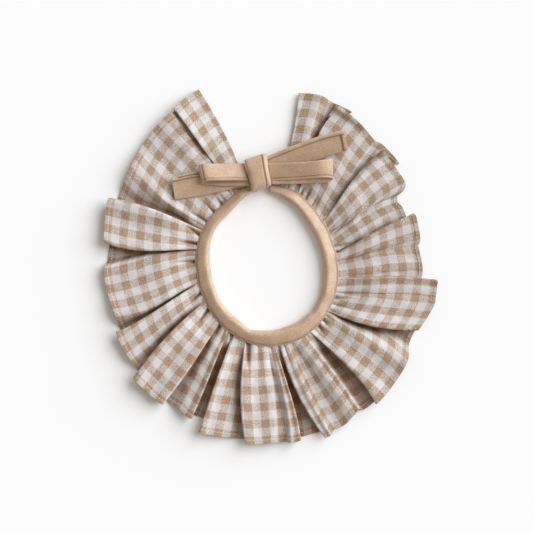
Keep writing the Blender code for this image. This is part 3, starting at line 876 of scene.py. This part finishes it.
def make_tape(name, rows, look, lips, end_lip, bow_out, lines):
    """A flat tape along its stations.

    lips are its turned edges: the side, 1 or -1, the width, the rise and the depth of the slot.
    end_lip is the width of its turned end, bow_out the rise of its middle over its edges.
    lines are pressed creases across it: the place along it and the depth.
    """
    rows = np.asarray(rows, float)
    lean = 0.5 * rows[:, 5:]
    edge_a = spline(np.hstack([rows[:, (0, 1)], rows[:, 4:5] + lean]), TAPE_STEPS)
    edge_b = spline(np.hstack([rows[:, (2, 3)], rows[:, 4:5] - lean]), TAPE_STEPS)
    middle = 0.5 * (edge_a + edge_b)
    along = unit(np.gradient(middle, axis=0))
    side = edge_a - edge_b
    width = np.linalg.norm(side, axis=1)
    side = unit(side)
    up = unit(np.cross(along, side))
    if up[0, 2] < 0.0:
        up = -up
    across = np.linspace(-0.5, 0.5, TAPE_ACROSS)
    inset = np.sqrt(np.clip(1.0 - np.abs(across * 2.0) ** TAPE_EDGE_POWER, 0.0, 1.0))
    run = np.concatenate([[0.0], np.cumsum(np.linalg.norm(np.diff(middle, axis=0), axis=1))])
    left = run[-1] - run
    top = np.zeros((len(middle), TAPE_ACROSS))
    dark = np.zeros_like(top)
    for at, size, rise, slot in lips:
        opened = ease((run - SLOT_CLEAR) / SLOT_TAPERS[0])
        opened = (opened * ease((left - SLOT_CLEAR) / SLOT_TAPERS[1]))[:, None]
        shape, groove = lip(across[None, :], width[:, None], at, size, rise, slot * opened)
        top += shape
        dark = np.maximum(dark, groove)
    if end_lip:
        band = ease((end_lip - left) / LIP_BLEND + 0.5)[:, None]
        groove = np.exp(-(((left - end_lip - LIP_GROOVE_ASIDE) / LIP_GROOVE_WIDTH) ** 2))[:, None]
        sunk = END_LIP_GROOVE_DEPTH * groove * (top < BESIDE_LIP)
        top = np.maximum(top, END_LIP_RISE * band) - sunk
        dark = np.maximum(dark, groove * (top < BESIDE_LIP))
    for place, depth in lines:
        groove = np.exp(-(((run - place) / LINE_WIDTH) ** 2))[:, None]
        top -= depth * groove
        dark = np.maximum(dark, LINE_SHADE * groove)
    wave = TAPE_WAVE * np.sin(run / TAPE_WAVE_ALONG)[:, None]
    top += wave * np.cos(across * TAPE_WAVE_ACROSS)[None, :]
    top += bow_out * (1.0 - (2.0 * across[None, :]) ** 2)
    half = 0.5 * TAPE
    upper = middle[:, None] + side[:, None] * (across * width[:, None])[..., None]
    lower = upper - up[:, None] * (half * inset)[None, :, None]
    lower = lower + up[:, None] * (bow_out * (1.0 - (2.0 * across) ** 2))[None, :, None]
    upper = upper + up[:, None] * ((half * inset)[None, :] + top * inset[None, :])[..., None]
    rings = np.concatenate([upper, lower[:, ::-1][:, 1:-1]], axis=1)
    piece = closed_tube(name, rings, look)
    # Painted shade in the turned edges' grooves, the slots, the turned end's groove and the pressed
    # creases.
    plain = np.zeros((len(middle), TAPE_ACROSS - 2))
    mark_painted_shade(piece, np.append(np.concatenate([dark, plain], axis=1), (0.0, 0.0)))
    return piece


def make_knot(look):
    """The tape wrapped once over the crossing, with a turned edge down its right side."""
    rows = spline(KNOT, KNOT_STEPS)
    side = np.array([math.cos(KNOT_LEAN), math.sin(KNOT_LEAN), 0.0])
    swing = 2.0 * np.pi * np.arange(KNOT_SIDES) / KNOT_SIDES
    wide = np.copysign(np.abs(np.cos(swing)) ** KNOT_SIDE_POWER, np.cos(swing))
    high = np.copysign(np.abs(np.sin(swing)) ** KNOT_TOP_POWER, np.sin(swing))
    rings = []
    dark = []
    for x, y, half_width, top in rows:
        middle = 0.5 * (KNOT_BOTTOM + top)
        half_height = 0.5 * (top - KNOT_BOTTOM)
        level = middle + high * half_height
        inward = (1.0 - wide) * half_width
        band = ease((KNOT_LIP - inward) / KNOT_LIP_BLEND + 0.5) * (high > 0.0)
        groove = np.exp(-(((inward - KNOT_GROOVE_AT) / KNOT_GROOVE_WIDTH) ** 2)) * (high > 0.0)
        level = level + KNOT_LIP_RISE * band - KNOT_GROOVE_DEPTH * groove
        ring = np.array([x, y, 0.0]) + side * (wide * half_width)[:, None]
        ring[:, 2] = level
        rings.append(ring)
        dark.append(groove)
    piece = closed_tube("bow_knot", rings, look)
    # Painted shade in the groove beside the knot's turned edge.
    mark_painted_shade(piece, np.append(np.array(dark), (0.0, 0.0)))
    return piece


# Materials

def node(tree, kind, **settings):
    made = tree.nodes.new(kind)
    for key, value in settings.items():
        setattr(made, key, value)
    return made


def math_node(tree, operation, first, second=None, third=None, clamp=False):
    made = node(tree, "ShaderNodeMath", operation=operation, use_clamp=clamp)
    for socket, value in zip(made.inputs, (first, second, third)):
        if value is None:
            continue
        if isinstance(value, (int, float)):
            socket.default_value = value
        else:
            tree.links.new(value, socket)
    return made.outputs[0]


def mix_colour(tree, share, first, second, blend="MIX"):
    made = node(tree, "ShaderNodeMix", data_type="RGBA", blend_type=blend)
    # The colour sockets come after those for numbers and vectors.
    sockets = (made.inputs[0], made.inputs[6], made.inputs[7])
    for socket, value in zip(sockets, (share, first, second)):
        if isinstance(value, (int, float)):
            socket.default_value = value
        elif isinstance(value, tuple):
            socket.default_value = (*value, 1.0)
        else:
            tree.links.new(value, socket)
    return made.outputs[2]


def noise(tree, vector, scale, detail=2.0, rough=0.5):
    made = node(tree, "ShaderNodeTexNoise")
    made.inputs["Scale"].default_value = scale
    made.inputs["Detail"].default_value = detail
    made.inputs["Roughness"].default_value = rough
    tree.links.new(vector, made.inputs["Vector"])
    return made.outputs["Fac"]


def about(tree, value, size, middle, clamp=False):
    """A noise about its own middle, made larger or smaller and set about another middle."""
    centred = math_node(tree, "SUBTRACT", value, 0.5)
    return math_node(tree, "MULTIPLY_ADD", centred, size, middle, clamp)


def stretched(tree, vector, x, y):
    made = node(tree, "ShaderNodeMapping")
    made.inputs["Scale"].default_value = (x, y, 1.0)
    tree.links.new(vector, made.inputs["Vector"])
    return made.outputs[0]


def linear(red, green, blue):
    """A colour given as it looks, from 0 to 255, as a shader wants it."""
    made = []
    for value in (red, green, blue):
        value = value / 255.0
        made.append(value / 12.92 if value <= 0.04045 else ((value + 0.055) / 1.055) ** 2.4)
    return tuple(made)


def fabric(name, roughness, sheen):
    made = bpy.data.materials.new(name)
    made.use_nodes = True
    tree = made.node_tree
    shader = tree.nodes["Principled BSDF"]
    shader.inputs["Roughness"].default_value = roughness
    shader.inputs["Specular IOR Level"].default_value = 0.25
    shader.inputs["Sheen Weight"].default_value = sheen
    shader.inputs["Sheen Roughness"].default_value = 0.5
    return made, tree, shader


def raise_yarns(tree, shader, relief, strength):
    """The fine relief of the yarns, as a bump."""
    bump = node(tree, "ShaderNodeBump")
    bump.inputs["Strength"].default_value = strength
    bump.inputs["Distance"].default_value = YARN_RELIEF
    tree.links.new(relief, bump.inputs["Height"])
    tree.links.new(bump.outputs[0], shader.inputs["Normal"])


def weave(tree, x, y, pitch):
    """1 where the warp lies over the weft, and the height of the yarns."""
    wave_x = math_node(tree, "SINE", math_node(tree, "MULTIPLY", x, math.pi / pitch))
    wave_y = math_node(tree, "SINE", math_node(tree, "MULTIPLY", y, math.pi / pitch))
    both = math_node(tree, "MULTIPLY", wave_x, wave_y)
    over = math_node(tree, "GREATER_THAN", both, 0.0)
    return over, math_node(tree, "ABSOLUTE", both)


def with_painted_shade(tree, colour, tint):
    """The colour with painted shade: multiplied by the tint down in the creases and grooves that
    the piece has marked.
    """
    crease = node(tree, "ShaderNodeAttribute", attribute_name="crease").outputs["Fac"]
    return mix_colour(tree, crease, colour, mix_colour(tree, 1.0, colour, tint, "MULTIPLY"))


def gingham_look():
    """Beige and white yarns in stripes both ways, woven over and under each other."""
    made, tree, shader = fabric("gingham_cotton_look", 0.86, 0.12)
    uv = node(tree, "ShaderNodeUVMap", uv_map="cloth").outputs[0]
    shift = math_node(tree, "MULTIPLY_ADD", noise(tree, uv, 0.35, 1.0), WOBBLE, -0.5 * WOBBLE)
    parts = node(tree, "ShaderNodeSeparateXYZ")
    tree.links.new(uv, parts.inputs[0])
    x = math_node(tree, "ADD", parts.outputs[0], shift)
    y = math_node(tree, "ADD", parts.outputs[1], shift)
    over, yarns = weave(tree, parts.outputs[0], parts.outputs[1], YARN)
    slub_x = noise(tree, stretched(tree, uv, *SLUB_STRETCH), 1.0, 2.0, 0.6)
    slub_y = noise(tree, stretched(tree, uv, *SLUB_STRETCH[::-1]), 1.0, 2.0, 0.6)
    grain = noise(tree, uv, GRAIN_SCALE, 2.0, 0.6)
    ragged = about(tree, grain, STRIPE_RAGGED, 0.5)
    stripes = []
    for value, offset in ((x, 0.0), (y, STRIPE_OFFSET)):
        turn = math_node(tree, "MULTIPLY_ADD", value, 2.0 * math.pi / CHECK, offset)
        wave = math_node(tree, "SINE", turn)
        stripes.append(math_node(tree, "MULTIPLY_ADD", wave, STRIPE_SHARPNESS, ragged, True))
    # Where one stripe crosses white, the yarns on top and the heather decide.
    mixed = math_node(tree, "MULTIPLY_ADD", over, 0.5, 0.3)
    mixed = about(tree, grain, HEATHER, mixed)
    mixed = about(tree, slub_x, SLUBS, mixed)
    mixed = about(tree, slub_y, -SLUBS, mixed, True)
    difference = math_node(tree, "SUBTRACT", stripes[0], stripes[1])
    tan_share = math_node(tree, "MULTIPLY_ADD", difference, mixed, stripes[1])
    fleck = noise(tree, stretched(tree, uv, 1.0, 1.3), 1.0, 1.5, 0.5)
    fleck = about(tree, fleck, FLECKS, 0.5, True)
    tan = mix_colour(tree, fleck, linear(*TAN_DARK), linear(*TAN_LIGHT))
    colour = mix_colour(tree, tan_share, linear(*WHITE_YARN), tan)
    half_x = math_node(tree, "MULTIPLY", slub_x, 0.5)
    half_y = math_node(tree, "MULTIPLY", slub_y, 0.5)
    shade = about(tree, math_node(tree, "ADD", half_x, half_y), SLUB_SHADE, 1.0)
    gap = math_node(tree, "MULTIPLY_ADD", yarns, *YARN_SHADE)
    shade = math_node(tree, "MULTIPLY", shade, gap)
    grey = node(tree, "ShaderNodeCombineColor")
    for socket in grey.inputs:
        tree.links.new(shade, socket)
    colour = mix_colour(tree, 1.0, colour, grey.outputs[0], "MULTIPLY")
    # Painted shade, warm as bounced light, down in the folds' creases.
    colour = with_painted_shade(tree, colour, PAINTED_CREASE_SHADE)
    tree.links.new(colour, shader.inputs["Base Color"])
    relief = math_node(tree, "MULTIPLY_ADD", slub_x, SLUB_RELIEF, yarns)
    relief = math_node(tree, "MULTIPLY_ADD", slub_y, SLUB_RELIEF, relief)
    raise_yarns(tree, shader, relief, 0.5)
    return made


def tape_look():
    """Tan cotton tape cut on the bias, lightly brushed."""
    made, tree, shader = fabric("tan_tape_look", 0.5, 0.35)
    shader.inputs["Specular IOR Level"].default_value = 1.0
    uv = node(tree, "ShaderNodeUVMap", uv_map="cloth").outputs[0]
    turned = node(tree, "ShaderNodeMapping")
    turned.inputs["Rotation"].default_value = (0.0, 0.0, math.radians(45.0))
    tree.links.new(uv, turned.inputs["Vector"])
    parts = node(tree, "ShaderNodeSeparateXYZ")
    tree.links.new(turned.outputs[0], parts.inputs[0])
    _, yarns = weave(tree, parts.outputs[0], parts.outputs[1], TAPE_YARN)
    grain = noise(tree, turned.outputs[0], 1.1, 3.0, 0.75)
    cloud = noise(tree, uv, 0.09, 2.0, 0.5)
    share = about(tree, grain, TAPE_GRAIN, TAPE_MIDDLE)
    share = about(tree, cloud, TAPE_CLOUD, share)
    share = math_node(tree, "MULTIPLY_ADD", yarns, 0.3, share, True)
    colour = mix_colour(tree, share, linear(*TAPE_DARK), linear(*TAPE_LIGHT))
    # Painted shade down in the tapes' grooves.
    colour = with_painted_shade(tree, colour, PAINTED_GROOVE_SHADE)
    tree.links.new(colour, shader.inputs["Base Color"])
    raise_yarns(tree, shader, math_node(tree, "MULTIPLY_ADD", grain, 0.9, yarns), 0.45)
    return made


def thread_look(name, colour):
    made, tree, shader = fabric(name, 0.7, 0.2)
    place = node(tree, "ShaderNodeTexCoord").outputs["Object"]
    ply = noise(tree, place, 2500.0, 2.0)
    share = math_node(tree, "MULTIPLY_ADD", ply, 0.5, 0.2, True)
    darker = tuple(0.75 * value for value in linear(*colour))
    tree.links.new(mix_colour(tree, share, linear(*colour), darker), shader.inputs["Base Color"])
    return made


def floor_look():
    made = bpy.data.materials.new("white_surface")
    made.use_nodes = True
    shader = made.node_tree.nodes["Principled BSDF"]
    shader.inputs["Base Color"].default_value = (0.95, 0.95, 0.95, 1.0)
    shader.inputs["Roughness"].default_value = 0.9
    shader.inputs["Specular IOR Level"].default_value = 0.0
    return made


# Colours, as they look in the photograph's light
WHITE_YARN = (216, 213, 210)
TAN_LIGHT = (192, 167, 140)
TAN_DARK = (148, 118, 90)
TAPE_LIGHT = (220, 189, 157)
TAPE_DARK = (148, 112, 80)
THREAD = (232, 222, 208)

# Painted shade: what the colours are multiplied by down in a fold's crease, warm as light bounced
# off the cloth, and in a tape's groove
PAINTED_CREASE_SHADE = (0.44, 0.30, 0.20)
PAINTED_GROOVE_SHADE = (0.6, 0.5, 0.42)

# The gingham's yarns: how far the stripes wander and where the cross stripes start, how sharp
# and ragged their edges are, and the heather, slubs and flecks in them
WOBBLE = 0.5
STRIPE_OFFSET = 0.35
STRIPE_SHARPNESS = 3.1
STRIPE_RAGGED = 1.3
GRAIN_SCALE = 1.05
HEATHER = 3.0
SLUB_STRETCH = (0.16, 2.4)
SLUBS = 1.2
SLUB_SHADE = 0.5
SLUB_RELIEF = 0.8
FLECKS = 2.6
YARN_SHADE = (0.2, 0.86)
YARN_RELIEF = 0.00012

# The tape's brushed grain and its larger clouds
TAPE_GRAIN = 1.9
TAPE_MIDDLE = 0.42
TAPE_CLOUD = 0.8


# Floor, light and camera

FLOOR_HALF = 1.6
FLOOR_LEVEL = -0.0001
PHOTO_SIDE = 533.0
PIXEL = 0.756
NECK_PIXEL = (266.0, 264.0)
LENS = 100.0
SENSOR = 36.0
CLOTH_LEVEL = 5.0
KEY = 3.98
KEY_RISE = 29.0
KEY_TURN = 28.0
KEY_SPREAD = 62.0
KEY_COLOUR = (1.0, 1.05, 1.12)
FILL = 0.42
FILL_COLOUR = (1.0, 0.92, 0.82)


def make_floor():
    """A plain white surface, a hair below the cloth."""
    mesh = bpy.data.meshes.new("surface")
    corners = [(-1, -1), (1, -1), (1, 1), (-1, 1)]
    places = [(x * FLOOR_HALF, y * FLOOR_HALF, FLOOR_LEVEL) for x, y in corners]
    mesh.from_pydata(places, [], [(0, 1, 2, 3)])
    mesh.materials.append(floor_look())
    made = bpy.data.objects.new("surface", mesh)
    bpy.context.scene.collection.objects.link(made)


def make_light():
    """A large soft key light from the right, as even as a far one, and a weaker fill all round."""
    world = bpy.data.worlds.new("studio")
    world.use_nodes = True
    background = world.node_tree.nodes["Background"]
    background.inputs["Color"].default_value = (*FILL_COLOUR, 1.0)
    background.inputs["Strength"].default_value = FILL
    bpy.context.scene.world = world
    data = bpy.data.lights.new("key", "SUN")
    data.energy = KEY
    data.color = KEY_COLOUR
    data.angle = math.radians(KEY_SPREAD)
    made = bpy.data.objects.new("key", data)
    made.rotation_euler = (0.0, math.radians(90.0 - KEY_RISE), math.radians(KEY_TURN))
    bpy.context.scene.collection.objects.link(made)
    bpy.context.scene.view_settings.view_transform = "Standard"


def make_camera():
    """Straight above the photograph's middle, so far off that its pixels have their real size."""
    data = bpy.data.cameras.new("camera")
    data.lens = LENS
    data.sensor_width = SENSOR
    made = bpy.data.objects.new("camera", data)
    x = (0.5 * PHOTO_SIDE - NECK_PIXEL[0]) * PIXEL + NECK_AT[0]
    y = (NECK_PIXEL[1] - 0.5 * PHOTO_SIDE) * PIXEL + NECK_AT[1]
    distance = PHOTO_SIDE * PIXEL * LENS / SENSOR + CLOTH_LEVEL
    made.location = (x * MM, y * MM, distance * MM)
    data.clip_end = 10.0
    bpy.context.scene.collection.objects.link(made)
    bpy.context.scene.camera = made


def dress(piece, slot, *nodes):
    """Puts a piece on the one body, in place of the solids named; the slot is not used."""
    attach(piece, "root")
    if nodes:
        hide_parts(*nodes)


def main():
    make_camera()
    make_light()
    make_floor()
    gingham = gingham_look()
    tape = tape_look()
    thread = thread_look("sewing_thread", THREAD)

    ruffle, upper, normal, v = make_ruffle(gingham)
    dress(ruffle, "gingham_cotton", "ruffle")
    row = int(np.argmin(np.abs(v.mean(axis=1) - HEM_WIDTH * HEM_ROWS[0])))
    hem_stitches = make_stitches("hem_stitches", upper[row], normal[row], HEM_STITCH, thread)
    dress(hem_stitches, "gingham_cotton")

    binding, line, normals = make_binding(tape)
    dress(binding, "tan_tape", "neck_binding")
    edge_stitches = make_stitches("binding_stitches", line, normals, BINDING_STITCH, thread)
    dress(edge_stitches, "tan_tape")

    for name, rows, solid, lips, end_lip, crown, lines in TAPES:
        piece = make_tape(name, rows, tape, lips, end_lip, crown, lines)
        dress(piece, "tan_tape", solid)
    knot = make_knot(tape)
    dress(knot, "tan_tape", "knot")


main()
